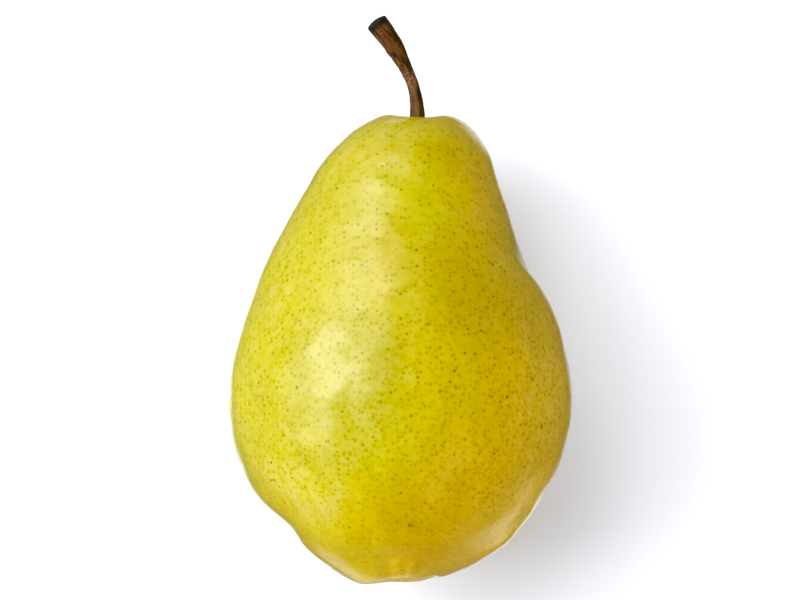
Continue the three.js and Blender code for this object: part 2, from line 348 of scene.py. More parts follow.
def outline_curve(t):
    """Radius and along of the half outline, for t from 0 to 1: the uniform cubic B-spline of its
    control points, which are mirrored in the core line at both ends."""
    last = len(OUTLINE) - 1
    mirrored = OUTLINE[[1, last - 1]] * [-1, 1]
    controls = np.vstack([mirrored[0], OUTLINE, mirrored[1]])
    span = np.minimum((t * last).astype(int), last - 1)
    f = (t * last - span)[:, None]
    weights = (
        (1 - f) ** 3,
        3 * f ** 3 - 6 * f ** 2 + 4,
        -3 * f ** 3 + 3 * f ** 2 + 3 * f + 1,
        f ** 3,
    )
    return sum(weight * controls[span + k] for k, weight in enumerate(weights)) / 6


def even_outline(rows):
    """The half outline at evenly spaced steps of its length, with both ends on the core line."""
    fine = outline_curve(np.linspace(0, 1, OUTLINE_STEPS))
    length = length_along(fine)
    outline = between(np.linspace(0, length[-1], rows), length, fine)
    outline[[0, -1], 0] = 0
    return outline


def grow_fruit(radius, along, angle):
    """Points of the fruit in its own frame. The turned radius is multiplied by 1 plus a small
    cosine of three times the turn, plus another of five times the turn that fades away from the
    calyx. Each swell adds its height times a bell of the turn and a bell of the along. The calyx
    rim waves with the lobes, and the neck rim with the cosine of twice the turn. The calyx end
    tips over by a share of x, and the core line bends."""
    turn = np.degrees(angle)
    lobe = np.cos(LOBE_COUNT * np.radians(turn - LOBE_TURN))
    three_sided = THREE_SIDED_DEPTH * np.cos(3 * np.radians(turn - THREE_SIDED_TURN))
    lobed = LOBE_DEPTH * lobe * bell(np.maximum(along, 0) / LOBE_FADE)
    swell = sum(
        height * bell(turn_apart(turn, at_turn) / turn_fade) * bell((along - at) / fade)
        for at_turn, at, height, turn_fade, fade in SWELLS.values()
    )
    grown = radius * (1 + lobed + three_sided) + swell * np.clip(radius / SWELL_FULL_RADIUS, 0, 1)
    shift = core_shift(along)
    rim = np.where(
        along < MIDWAY,
        -CALYX_RIM_WAVE * lobe * at_rim(radius / CALYX_RIM_RADIUS),
        NECK_SADDLE * np.cos(2 * angle) * at_rim(radius / NECK_RIM_RADIUS),
    )
    along = along + rim
    x = grown * np.cos(angle)
    along = along + CALYX_TIP * x * bell(along / CALYX_TIP_FADE)
    return np.stack([x + shift, along, grown * np.sin(angle)], axis=-1)


def fruit_grids():
    """The whole skin and its straight places. The skin is the grown fruit with its soft
    unevenness, laid down and pressed flat where it rests on the table. The straight places are
    those of an even tube with the same turn and along."""
    outline = even_outline(FRUIT_ROWS)
    angle = even_turns(FRUIT_COLUMNS)
    points = grow_fruit(outline[:, :1], outline[:, 1:], angle[None, :])
    points = lay(raised(points, layered_lumps(points, SKIN_LUMPS)))
    points[..., 2] = np.maximum(points[..., 2], 0)
    tube = STRAIGHT_RADIUS * np.stack([np.cos(angle), 0 * angle, np.sin(angle)], axis=-1)
    straight = tube[None] + outline[:, 1:, None] * [0, 1, 0]
    return points, straight


# ---- The stem ----

def stem_radius(distance):
    """The stem's radius at a distance from the neck: the waist's, plus a bell at its foot, plus a
    smooth step to its flared end."""
    extra, fade = STEM_FOOT
    flare, low, high = STEM_FLARE
    foot = STEM_WAIST_RADIUS + extra * bell(np.maximum(distance, 0) / fade)
    return foot + flare * smooth_step(distance, low, high)


def stem_line(distances):
    """Middle points and unit directions at distances along the stem, and the stem's length. The
    line is the uniform Catmull-Rom curve through the path's points, stepped evenly by length."""
    before = 2 * STEM_PATH[0] - STEM_PATH[1]
    beyond = 2 * STEM_PATH[-1] - STEM_PATH[-2]
    path = np.vstack([before, STEM_PATH, beyond])
    spans = len(STEM_PATH) - 1
    t = np.linspace(0, spans, STEM_LINE_STEPS)
    span = np.minimum(t.astype(int), spans - 1)
    f = (t - span)[:, None]
    weights = (
        -f ** 3 + 2 * f ** 2 - f,
        3 * f ** 3 - 5 * f ** 2 + 2,
        -3 * f ** 3 + 4 * f ** 2 + f,
        f ** 3 - f ** 2,
    )
    fine = sum(weight * path[span + k] for k, weight in enumerate(weights)) / 2
    length = length_along(fine)
    held = np.clip(distances, 0, length[-1])
    middle = between(held, length, fine)
    direction = between(held, length, np.gradient(fine, length, axis=0))
    direction /= np.linalg.norm(direction, axis=1, keepdims=True)
    middle += direction * (distances - held)[:, None]
    return middle, direction, length[-1]


def stem_profile():
    """Radius and along of the stem's half outline: from the middle of the root end straight out,
    along the bark, round the end edge in a quarter circle, and in over the cut end, which bulges
    with the square of the way in."""
    length = stem_line(np.zeros(1))[2]
    bark_length = length - STEM_END_BEVEL
    along_bark = np.linspace(0, bark_length, STEM_ROWS)
    bark_radius = stem_radius(along_bark - STEM_ROOT_LENGTH)
    over_bevel = np.linspace(0, np.pi / 2, STEM_BEVEL_ROWS)[1:]
    bevel_radius = bark_radius[-1] - STEM_END_BEVEL * (1 - np.cos(over_bevel))
    bevel_along = bark_length + STEM_END_BEVEL * np.sin(over_bevel)
    over_cut = np.linspace(1, 0, STEM_CUT_ROWS)[1:]
    cut_radius = bevel_radius[-1] * over_cut
    cut_along = length + STEM_CROWN * (1 - over_cut ** 2)
    radius = np.concatenate([[0], bark_radius, bevel_radius, cut_radius])
    along = np.concatenate([[0], along_bark, bevel_along, cut_along])
    return radius, along


def stem_grids():
    """The stem's surface and its straight places. Its section is a circle whose radius grows by
    ridges, knobs and scars, carried along the bent middle line. A scar is its height times the
    front half of a cosine of the turn and a bell of the distance. The straight places are those of
    the plain circle on a straight line."""
    radius, along = stem_profile()
    angle = even_turns(STEM_COLUMNS)
    distance = (along - STEM_ROOT_LENGTH)[:, None]
    section = radius[:, None] * np.ones_like(angle)
    straight = np.stack(
        [section * np.cos(angle), distance + 0 * section, section * np.sin(angle)], axis=-1,
    )
    share = np.clip(section / STEM_WAIST_RADIUS, 0, 1)
    ridges = layered_lumps(straight * RIDGE_DRAW, STEM_RIDGES)
    knobs = layered_lumps(straight, STEM_KNOBS)
    scars = sum(
        height * np.maximum(np.cos(angle - np.radians(at_turn)), 0) * bell((distance - at) / fade)
        for at, at_turn, height, fade in STEM_SCARS
    )
    section = section + share * (ridges + knobs + scars)

    middle, ahead, _ = stem_line(along)
    side = np.cross(ahead, [0, 0, 1])
    side /= np.linalg.norm(side, axis=1, keepdims=True)
    lift = np.cross(side, ahead)
    across = (section * np.cos(angle))[..., None] * side[:, None]
    upwards = (section * np.sin(angle))[..., None] * lift[:, None]
    return lay(middle[:, None] + across + upwards), straight


# ---- The calyx ----

def cup_grid():
    """The cup that the sepals stand in: its turned outline with the radius times 1 plus a small
    cosine of five times the turn, and the lip moved by a sine of eleven times the turn."""
    share, along = np.hsplit(CUP_OUTLINE, 2)
    angle = even_turns(CUP_COLUMNS)
    corners, depth = CUP_CORNERS
    radius = CUP_RADIUS * share * (1 + depth * np.cos(corners * angle))
    ripples, height, start = CUP_RIPPLE
    along = along + height * np.sin(ripples * angle) * (share > start)
    x = radius * np.cos(angle) + core_shift(CUP_LIP)
    return lay(np.stack([x, along, radius * np.sin(angle)], axis=-1))


def blade_grid(turn, foot, lean, curl, length, root_along, half_width, half_thickness, cupping=0):
    """A slim closed blade. Its middle line starts at the foot radius and moves outwards by lean
    times t plus curl times t squared while it rises by length times t; its section is an ellipse
    whose two halves are given for every t, hollowed towards the middle by cupping."""
    t = np.linspace(0, 1, BLADE_ROWS)
    angle = even_turns(BLADE_COLUMNS)
    t_rows = np.concatenate([[0], t, [1]])
    width = np.concatenate([[0], half_width(t), [0]])[:, None] * np.cos(angle)
    thickness = np.concatenate([[0], half_thickness(t), [0]])[:, None] * np.sin(angle)
    thickness = thickness + cupping * width ** 2

    heading = np.radians(turn)
    out = np.array([np.cos(heading), 0, np.sin(heading)])
    across = np.array([-np.sin(heading), 0, np.cos(heading)])
    middle = (foot + lean * t_rows + curl * t_rows ** 2)[:, None] * out
    middle[:, 1] = root_along - length * t_rows
    ahead = (lean + 2 * curl * t_rows)[:, None] * out
    ahead[:, 1] = -length
    ahead /= np.linalg.norm(ahead, axis=1, keepdims=True)
    face = np.cross(across, ahead)
    points = middle[:, None] + width[..., None] * across + thickness[..., None] * face[:, None]
    points[..., 0] += core_shift(CUP_LIP)
    return points


def sepal_grid(turn, lean, curl, length):
    """A dried sepal: a cupped blade, slightly crumpled by soft lumps. From foot to tip its width
    shrinks with t to the power of its taper, and its thickness with t."""
    points = blade_grid(
        turn, SEPAL_FOOT, lean, curl, length, SEPAL_ROOT_ALONG,
        lambda t: (SEPAL_WIDTH + (SEPAL_TIP_WIDTH - SEPAL_WIDTH) * t ** SEPAL_TAPER) / 2,
        lambda t: (SEPAL_THICKNESS - SEPAL_THINNING * t) / 2,
        SEPAL_CUPPING,
    )
    return lay(raised(points, layered_lumps(points, SEPAL_CRUMPLE)))


def stamen_radius(t):
    """The radius of a stamen: an even one times 1 plus a bell, which is the knob near its end."""
    extra, at, fade = STAMEN_KNOB
    return STAMEN_RADIUS * (1 + extra * bell((t - at) / fade))


def stamen_grid(index):
    """A dried stamen: a bent thread. Its foot lies a golden angle further round than the last
    one's, and further out with the square root of its number. Its lean, curl and length are sines
    and cosines of multiples of its number."""
    inner, further = STAMEN_FOOT
    length, longer = STAMEN_LENGTH
    return lay(blade_grid(
        index * GOLDEN_ANGLE,
        inner + further * np.sqrt((index + 1) / STAMEN_COUNT),
        STAMEN_LEAN * np.sin(2 * index),
        STAMEN_CURL * np.cos(3 * index),
        length + longer * np.sin(5 * index),
        STAMEN_ROOT_ALONG, stamen_radius, stamen_radius,
    ))


def calyx_grids():
    """The cup, its five sepals and its tuft of stamens."""
    sepals = [sepal_grid(*sepal) for sepal in SEPALS]
    stamens = [stamen_grid(index) for index in range(STAMEN_COUNT)]
    return [cup_grid(), *sepals, *stamens]


# ---- Shader helpers ----

NUMBER = "NodeSocketFloat"
VECTOR = "NodeSocketVector"
# The sockets of a Mix node that mixes colours: the share, the two colours and the result.
MIX_SHARE, MIX_FIRST, MIX_SECOND, MIX_RESULT = 0, 6, 7, 2


def set_inputs(tree, made, inputs):
    """Gives a node its inputs, each a number or colour to set or an output socket to link."""
    for name, value in inputs.items():
        if isinstance(value, bpy.types.NodeSocket):
            tree.links.new(value, made.inputs[name])
        else:
            made.inputs[name].default_value = value


def add_node(tree, kind, inputs=None, **settings):
    """Adds a node with its settings and inputs."""
    made = tree.nodes.new(kind)
    for name, value in settings.items():
        setattr(made, name, value)
    set_inputs(tree, made, inputs or {})
    return made


def mixed(tree, share, first, second, blend="MIX"):
    """The colour that is share of the way from the first colour to the second."""
    inputs = {MIX_SHARE: share, MIX_FIRST: first, MIX_SECOND: second}
    made = add_node(tree, "ShaderNodeMix", inputs, data_type="RGBA", blend_type=blend)
    return made.outputs[MIX_RESULT]


def tinted(tree, share, colour, tint):
    """The colour that is share of the way to the colour multiplied by a tint."""
    return mixed(tree, share, colour, tint, blend="MULTIPLY")


def math_of(tree, operation, first, second=0.0):
    """The result of one operation on two numbers, or on the first alone."""
    return add_node(tree, "ShaderNodeMath", {0: first, 1: second}, operation=operation).outputs[0]


def product(tree, first, *others):
    """All the numbers multiplied."""
    for other in others:
        first = math_of(tree, "MULTIPLY", first, other)
    return first


def total(tree, first, *others):
    """All the numbers added."""
    for other in others:
        first = math_of(tree, "ADD", first, other)
    return first


def swing(tree, value, over):
    """over times the value less a half, so that a noise swings round nothing."""
    return product(tree, math_of(tree, "SUBTRACT", value, 0.5), over)


def faded(tree, value, low, high, at_low=0.0, at_high=1.0):
    """A smooth step: at_low where the value is low, at_high where it is high."""
    inputs = {
        "Value": value, "From Min": low, "From Max": high, "To Min": at_low, "To Max": at_high,
    }
    made = add_node(tree, "ShaderNodeMapRange", inputs, interpolation_type="SMOOTHSTEP")
    return made.outputs["Result"]


def ramp(tree, value, stops):
    """The colour that a value from 0 to 1 reaches between the given stops."""
    made = add_node(tree, "ShaderNodeValToRGB", {"Fac": value})
    elements = made.color_ramp.elements
    elements.remove(elements[1])
    for index, (at, colour) in enumerate(stops.items()):
        stop = elements[0] if index == 0 else elements.new(at)
        stop.position = at
        stop.color = colour
    return made.outputs["Color"]


def grey(tree, level):
    """The grey of a level."""
    inputs = {"Red": level, "Green": level, "Blue": level}
    return add_node(tree, "ShaderNodeCombineColor", inputs).outputs["Color"]


def place_in_mm(tree):
    """The object's own coordinates in millimetres."""
    inputs = {0: add_node(tree, "ShaderNodeTexCoord").outputs["Object"], "Scale": 1 / MM}
    return add_node(tree, "ShaderNodeVectorMath", inputs, operation="SCALE").outputs[0]


def straight_place(tree):
    """The straight places kept on the mesh, in millimetres."""
    return add_node(tree, "ShaderNodeAttribute", attribute_name="straight").outputs["Vector"]


def axes_of(tree, place):
    """The three numbers of a place, by the names X, Y and Z."""
    return add_node(tree, "ShaderNodeSeparateXYZ", {"Vector": place}).outputs


def scaled(tree, place, by):
    """A place with each of its numbers multiplied by its own factor."""
    inputs = {0: place, 1: by}
    return add_node(tree, "ShaderNodeVectorMath", inputs, operation="MULTIPLY").outputs[0]


def frayed(tree, place, value, over):
    """A place moved in a slanting direction by over times the value less a half."""
    shift = swing(tree, value, over)
    slant = add_node(tree, "ShaderNodeCombineXYZ", {"X": shift, "Y": shift, "Z": shift}).outputs[0]
    return add_node(tree, "ShaderNodeVectorMath", {0: place, 1: slant}, operation="ADD").outputs[0]


def near(tree, place, centre, full, none, most=1.0, least=0.0):
    """Most within the first distance of a centre, and least past the second."""
    inputs = {0: place, 1: centre}
    away = add_node(tree, "ShaderNodeVectorMath", inputs, operation="DISTANCE").outputs["Value"]
    return faded(tree, away, full, none, most, least)


def noise(tree, place, size, detail=2.0, roughness=0.5):
    """Soft noise whose features are about size across, from 0 to 1 and mostly near a half."""
    inputs = {"Vector": place, "Scale": 1 / size, "Detail": detail, "Roughness": roughness}
    return add_node(tree, "ShaderNodeTexNoise", inputs).outputs["Fac"]


def bumped(tree, height, distance):
    """The normals of a surface whose height, from 0 to 1, is worth a distance in millimetres."""
    inputs = {"Height": height, "Distance": distance * MM, "Strength": 1.0}
    return add_node(tree, "ShaderNodeBump", inputs).outputs["Normal"]


def new_group(name, inputs, outputs):
    """An empty node group with named inputs, each with its default, and named outputs."""
    tree = bpy.data.node_groups.new(name, "ShaderNodeTree")
    for title, (kind, default) in inputs.items():
        socket = tree.interface.new_socket(title, in_out="INPUT", socket_type=kind)
        if default is not None:
            socket.default_value = default
    for title in outputs:
        tree.interface.new_socket(title, in_out="OUTPUT", socket_type=NUMBER)
    given = tree.nodes.new("NodeGroupInput").outputs
    return tree, given, tree.nodes.new("NodeGroupOutput")


def use_group(tree, group, inputs):
    """Places a node group with its own values, and gives its outputs."""
    return add_node(tree, "ShaderNodeGroup", inputs, node_tree=group).outputs


def patches(tree, dapple, place, sizes):
    """The mask of the dapple group with one set of sizes."""
    return use_group(tree, dapple, {"Place": place, **sizes})["Patches"]


DOT_SCATTER = 0.9                       # how far the dots stray from even rows
DOT_CORE = 0.45                         # the share of its radius that a dot is full for
FAINTEST_DOT = 0.5


def make_dots_group():
    """Round dots on any surface: the space is filled with scattered points a spacing apart, and
    where the surface passes near one it shows a dark middle with a soft ring round it. Fill is
    the share of the points that show, and Chance a number of each dot's own from 0 to 1."""
    tree, given, result = new_group(
        "Scattered dots",
        {
            "Place": (VECTOR, None), "Spacing": (NUMBER, 1.0), "Middle radius": (NUMBER, 0.2),
            "Ring radius": (NUMBER, 0.5), "Fill": (NUMBER, 1.0),
        },
        ("Middle", "Ring", "Chance"),
    )
    scale = math_of(tree, "DIVIDE", 1.0, given["Spacing"])
    inputs = {"Vector": given["Place"], "Scale": scale, "Randomness": DOT_SCATTER}
    cells = add_node(tree, "ShaderNodeTexVoronoi", inputs).outputs
    away = product(tree, cells["Distance"], given["Spacing"])
    chance = add_node(tree, "ShaderNodeSeparateColor", {"Color": cells["Color"]}).outputs
    shown = math_of(tree, "LESS_THAN", chance["Red"], given["Fill"])
    weight = product(tree, shown, faded(tree, chance["Green"], 0.0, 1.0, FAINTEST_DOT, 1.0))

    def disc(radius):
        """A soft round dot at each point that shows, from 0 to 1."""
        full = product(tree, radius, DOT_CORE)
        return product(tree, faded(tree, away, full, radius, 1.0, 0.0), weight)

    set_inputs(tree, result, {
        "Middle": disc(given["Middle radius"]),
        "Ring": disc(given["Ring radius"]),
        "Chance": chance["Blue"],
    })
    return tree


DAPPLE_DETAIL = 3.0
DAPPLE_ROUGHNESS = 0.55


def make_dapple_group():
    """Soft patches: noise of one size, cut between two levels to a mask from 0 to 1."""
    tree, given, result = new_group(
        "Dapple",
        {
            "Place": (VECTOR, None), "Size": (NUMBER, 5.0), "Low": (NUMBER, 0.4),
            "High": (NUMBER, 0.6),
        },
        ("Patches",),
    )
    inputs = {
        "Vector": given["Place"], "Scale": math_of(tree, "DIVIDE", 1.0, given["Size"]),
        "Detail": DAPPLE_DETAIL, "Roughness": DAPPLE_ROUGHNESS,
    }
    soft = add_node(tree, "ShaderNodeTexNoise", inputs).outputs["Fac"]
    set_inputs(tree, result, {"Patches": faded(tree, soft, given["Low"], given["High"])})
    return tree


def new_material(name):
    """A material with only a Principled BSDF and its output, and the two to build on."""
    material = bpy.data.materials.new(name)
    material.use_nodes = True
    tree = material.node_tree
    return material, tree, tree.nodes["Principled BSDF"]


# ---- Materials ----

# Sizes and distances are in millimetres. A fade is given as where it starts and ends, and then,
# where they aren't 0 and 1, as its values there.

# The skin's ground colours from its leafy left side, at 0, to its golden right side, at 1: partly
# the skin's own tone, partly painted shade colour on the side away from the lamps, with more red
# there as painted fill light.
GROUND_COLOURS = {
    0.0: (0.478, 0.419, 0.034, 1),
    0.33: (0.455, 0.395, 0.034, 1),
    0.43: (0.444, 0.366, 0.010, 1),
    0.6: (0.440, 0.330, 0.006, 1),
    1.0: (0.545, 0.345, 0.014, 1),
}
# What makes the skin golden, partly painted shade on the right side away from the lamps: fades
# along X and twice along Y, and the size and swing of a noise.
GOLDEN_SHADED_SIDEWAYS = (-20.0, 34.0, 0.05, 0.95)
GOLDEN_SHADED_CALYXWISE = (-46.0, -2.0, 0.62, 0.05)
GOLDEN_SHADED_NECKWISE = (25.0, 50.0, 0.0, 0.06)
GOLDEN_SHADED_WANDER = (18.0, 0.7)
CALYXWARD_PAINTED_LIGHT = (-35.0, 42.0, 1.10, 0.925)   # painted light: how bright the ground colour is along Y, brighter towards the calyx end

# What patches, rings and dots make of the ground colour under them. Rings and dots have a leafy
# and a golden tint.
PALE_TINT = (1.035, 1.04, 1.65, 1)
DEEP_TINT = (0.955, 0.965, 0.45, 1)
RING_TINTS = (0.92, 0.935, 0.12, 1), (0.87, 0.86, 0.35, 1)
DOT_TINTS = (0.66, 0.68, 0.0, 1), (0.69, 0.62, 0.1, 1)
DARK_DOT_TINT = (0.44, 0.37, 0.0, 1)
RUSSET = (0.36, 0.17, 0.022, 1)
BRUISE = (0.42, 0.25, 0.010, 1)
SMUDGE = (0.50, 0.27, 0.010, 1)

# Patches: their size, and the levels of their noise where they start and are full.
PALE_PATCHES = {"Size": 4.2, "Low": 0.47, "High": 0.61}
DEEP_PATCHES = {"Size": 2.2, "Low": 0.47, "High": 0.62}
REFLECTION_STREAKS = {"Size": 2.6, "Low": 0.44, "High": 0.58}
RUSSET_FLECKS = {"Size": 0.8, "Low": 0.45, "High": 0.7}
BRUISED_AREAS = {"Size": 11.0, "Low": 0.6, "High": 0.75}
BRUISE_FLECKS = {"Size": 1.2, "Low": 0.45, "High": 0.65}
PATCH_DRAW = (1, 0.55, 1)               # what draws patches out along the fruit
STREAK_DRAW = (1, 0.16, 1)

# Places on the skin with a tint of their own: the middle, the distances within which it is full
# and past which it is none, and the tint.
TINTED_PLACES = {
    "below the pinch": ((15, 15, 61), 2, 13, (0.84, 0.86, 1.0, 1)),
    "under the pinch": ((24, 15, 54), 2, 12, (0.93, 0.94, 1.0, 1)),
    "leafy neck": ((6, 36, 53), 2, 14, (1.11, 1.20, 1.5, 1)),
    "pinch side": ((17, 29, 52), 3, 11, (1.08, 1.0, 1.5, 1)),
    "left flank": ((-28, -6, 45), 3, 15, (1.07, 1.09, 1.0, 1)),
    "ripe front": ((5, -25, 63), 3, 13, (0.86, 0.86, 0.5, 1)),
    "ripe end": ((4, -34, 54), 2, 11, (0.90, 0.84, 0.4, 1)),
    # painted light: a pale rim along the calyx end's contour, standing in for the table's
    # reflection
    "painted rim light at the front": ((-5, -40, 43), 1, 13, (1.15, 1.19, 1.5, 1)),
    "cream left": ((-19, -24, 57), 6, 17, (1.12, 1.09, 1.7, 1)),
    # painted reflection: a pale cream place low on the right, where the table mirrors in the skin
    "painted reflection low right": ((25, -28, 46), 5, 15, (1.10, 1.12, 1.3, 1)),
    "right flank": ((28, -2, 57), 3, 14, (1.07, 1.09, 1.6, 1)),
    # painted shade: the skin is darkened under the key highlight, so the lit patch there prints
    # duller
    "left cheek": ((-12, 0, 66), 6, 20, (0.85, 0.86, 1.0, 1)),
}
# Painted reflection: cream streaks low on the right, where the table mirrors in the skin.
PAINTED_REFLECTION_PLACE = (24, -31, 44), 6, 13, (1.11, 1.14, 3.0, 1)
FRAYING = {"size": 7.0, "detail": 4.0}  # the noise that frays the edges of these places
FRAYED_BY = 16.0

# Fine dots thin out and strengthen from the calyx to the neck, along a line that wanders.
FINE_DOTS = {"Spacing": 0.95, "Middle radius": 0.34, "Ring radius": 0.74}
DOTS_WANDER = 30.0
DOTS_FILL = (0.0, 40.0, 0.88, 0.42)
DOTS_STRENGTH = (-40.0, -8.0, 0.5, 1.0)
DARK_DOTS = (0.65, 1.0)                 # of the dots' chances
COARSE_DOTS = {"Spacing": 2.6, "Middle radius": 0.42, "Fill": 0.3}

RUSSET_ENDS = (((3.6, 53.0, 29.0), 4.0, 15.0), ((0.4, -37.0, 38.5), 5.0, 14.0))
RUSSET_SHARE = 0.7
SMUDGES = ((-4.2, 44.4, 47.1), (0.5, 46.1, 46.6))
SMUDGE_REACH = (0.0, 2.0)
SMUDGE_SHARE = 0.35
DARK_SPOTS = ((26.3, 0.2, 58.0), (28.2, -9.3, 55.8), (2.0, -28.7, 61.2))
DARK_SPOT_REACH = (0.2, 0.75)
JAGS = {"size": 0.7, "detail": 3.0}     # the noise that makes smudges and spots jagged
JAGGED_BY = 2.6
BRUISE_SHARE = 0.4

WAX = {"size": 1.6, "detail": 3.0}
WAX_ROUGHNESS = (0.3, 0.7, 0.13, 0.20)
PEEL_SIZE = 0.9
PEEL_HEIGHT = 0.5                       # how far the grain rises and a dot sinks, in bumps
DOT_SINK = 0.12
SKIN_BUMP = 0.02
SKIN_IOR = 1.45
FLESH_SHARE = 0.12                      # of the light that comes back from under the skin
FLESH_DEPTH = 2.0                       # how far that light travels inside
FLESH_REACH = (1.0, 0.6, 0.1)           # of its red, green and blue, in such depths


def make_skin(dots, dapple):
    """Waxy skin: leaf yellow turning golden on the right side and at both ends, partly its own tone
    and partly painted shade, brighter towards the calyx end as painted light, with soft paler and
    deeper patches drawn lengthwise, some broad tinted places, among them painted shade under the
    key highlight and a painted rim light at the front, faint cream streaks low on the right that
    are a painted reflection, fine dots in green rings, russet round both ends, and a few brown
    flecks."""
    material, tree, shader = new_material("pear skin")
    place = place_in_mm(tree)
    axes = axes_of(tree, place)
    straight = straight_place(tree)
    patchy = scaled(tree, straight, PATCH_DRAW)
    streaky = scaled(tree, straight, STREAK_DRAW)

    wander_size, wander_swing = GOLDEN_SHADED_WANDER
    wander = swing(tree, noise(tree, place, wander_size), wander_swing)
    # partly painted shade: golden towards the right side, away from the lamps, and towards both
    # ends
    golden_and_shaded = total(
        tree,
        faded(tree, axes["X"], *GOLDEN_SHADED_SIDEWAYS),
        faded(tree, axes["Y"], *GOLDEN_SHADED_CALYXWISE),
        faded(tree, axes["Y"], *GOLDEN_SHADED_NECKWISE),
        wander,
    )
    # painted light: the ground colour is brighter towards the calyx end and darker towards the neck
    level = grey(tree, faded(tree, axes["Y"], *CALYXWARD_PAINTED_LIGHT))
    colour = tinted(tree, 1.0, ramp(tree, golden_and_shaded, GROUND_COLOURS), level)

    ragged = frayed(tree, place, noise(tree, patchy, **FRAYING), FRAYED_BY)
    for centre, full, none, tint in TINTED_PLACES.values():
        colour = tinted(tree, near(tree, ragged, centre, full, none), colour, tint)
    # painted reflection: cream streaks low on the right stand in for the mirrored table
    centre, full, none, tint = PAINTED_REFLECTION_PLACE
    streaks = patches(tree, dapple, streaky, REFLECTION_STREAKS)
    share = product(tree, near(tree, ragged, centre, full, none), streaks)
    colour = tinted(tree, share, colour, tint)
    colour = tinted(tree, patches(tree, dapple, patchy, PALE_PATCHES), colour, PALE_TINT)
    colour = tinted(tree, patches(tree, dapple, place, DEEP_PATCHES), colour, DEEP_TINT)

    along_skin = total(tree, axes["Y"], product(tree, wander, DOTS_WANDER))
    fill = faded(tree, along_skin, *DOTS_FILL)
    strength = faded(tree, along_skin, *DOTS_STRENGTH)
    fine = use_group(tree, dots, {"Place": place, "Fill": fill, **FINE_DOTS})
    ring_tint = mixed(tree, golden_and_shaded, *RING_TINTS)
    colour = tinted(tree, product(tree, fine["Ring"], strength), colour, ring_tint)
    darkened = faded(tree, fine["Chance"], *DARK_DOTS)
    dot_tint = mixed(tree, darkened, mixed(tree, golden_and_shaded, *DOT_TINTS), DARK_DOT_TINT)
    colour = tinted(tree, product(tree, fine["Middle"], strength), colour, dot_tint)
    coarse = use_group(tree, dots, {"Place": place, **COARSE_DOTS})
    colour = tinted(tree, coarse["Middle"], colour, DARK_DOT_TINT)

    near_ends = math_of(tree, "MAXIMUM", *(near(tree, place, *end) for end in RUSSET_ENDS))
    flecks = patches(tree, dapple, place, RUSSET_FLECKS)
    colour = mixed(tree, product(tree, near_ends, flecks, RUSSET_SHARE), colour, RUSSET)
    jagged = frayed(tree, place, noise(tree, place, **JAGS), JAGGED_BY)
    for centre in SMUDGES:
        share = product(tree, near(tree, jagged, centre, *SMUDGE_REACH), SMUDGE_SHARE)
        colour = mixed(tree, share, colour, SMUDGE)
    for centre in DARK_SPOTS:
        share = near(tree, jagged, centre, *DARK_SPOT_REACH)
        colour = tinted(tree, share, colour, DARK_DOT_TINT)
    bruised = patches(tree, dapple, place, BRUISED_AREAS)
    flecks = patches(tree, dapple, place, BRUISE_FLECKS)
    colour = mixed(tree, product(tree, bruised, flecks, BRUISE_SHARE), colour, BRUISE)

    peel = product(tree, noise(tree, place, PEEL_SIZE), PEEL_HEIGHT)
    height = math_of(tree, "SUBTRACT", peel, product(tree, fine["Middle"], DOT_SINK))
    set_inputs(tree, shader, {
        "Base Color": colour,
        "Roughness": faded(tree, noise(tree, place, **WAX), *WAX_ROUGHNESS),
        "Normal": bumped(tree, height, SKIN_BUMP),
        "IOR": SKIN_IOR,
        "Subsurface Weight": FLESH_SHARE,
        "Subsurface Radius": FLESH_REACH,
        "Subsurface Scale": FLESH_DEPTH * MM,
    })
    return material


BARK_BROWN = (0.078, 0.026, 0.011, 1)
BARK_DARK = (0.016, 0.006, 0.012, 1)
BARK_OCHRE = (0.150, 0.068, 0.018, 1)
BARK_RED = (0.110, 0.024, 0.010, 1)
PORE = (0.36, 0.23, 0.12, 1)
FLAKED = (0.30, 0.17, 0.11, 1)
CUT_DARK = (0.005, 0.002, 0.008, 1)
CUT_EDGE = (0.045, 0.034, 0.024, 1)
BARK_DRAW = (1, 0.14, 1)
BARK_GRAIN = {"size": 0.45, "detail": 4.0, "roughness": 0.6}
OCHRE_GRAIN = (0.42, 0.68)              # the levels of the grain that turn ochre, then dark
DARK_GRAIN = (0.49, 0.36)
RED_BANDS_SIZE = 1.6
RED_BANDS = (0.52, 0.7)
RED_SHARE = 0.8
PORES = {"Spacing": 0.9, "Middle radius": 0.16, "Ring radius": 0.3, "Fill": 0.35}
PORE_SHARE = 0.8
SOOT = {"Size": 2.2, "Low": 0.5, "High": 0.75}
SOOT_SHARE = 0.5
PAINTED_SHADE_SIDE = (0.4, 1.5, 0.0, 0.7)   # painted shade: darker, from the middle of the stem to its right, away from the lamps
SCAR_FLAKES = {"Size": 0.35, "Low": 0.5, "High": 0.62}
SCAR_FLAKES_ALONG = STEM_SCARS[0][0] - 1.0
SCAR_FLAKES_REACH = (0.8, 2.4, 0.55, 0.0)
CUT_FADE = (20.0, 21.3)                 # where along the stem its cut end starts
CUT_EDGE_SIZE = 0.4
CUT_EDGE_LEVELS = (0.45, 0.6)
CUT_EDGE_SHARE = 0.35
BARK_ROUGHNESS = (0.3, 0.7, 0.45, 0.7)
BARK_SHINE = 0.25
PORE_HEIGHT = 0.6
BARK_BUMP = 0.2


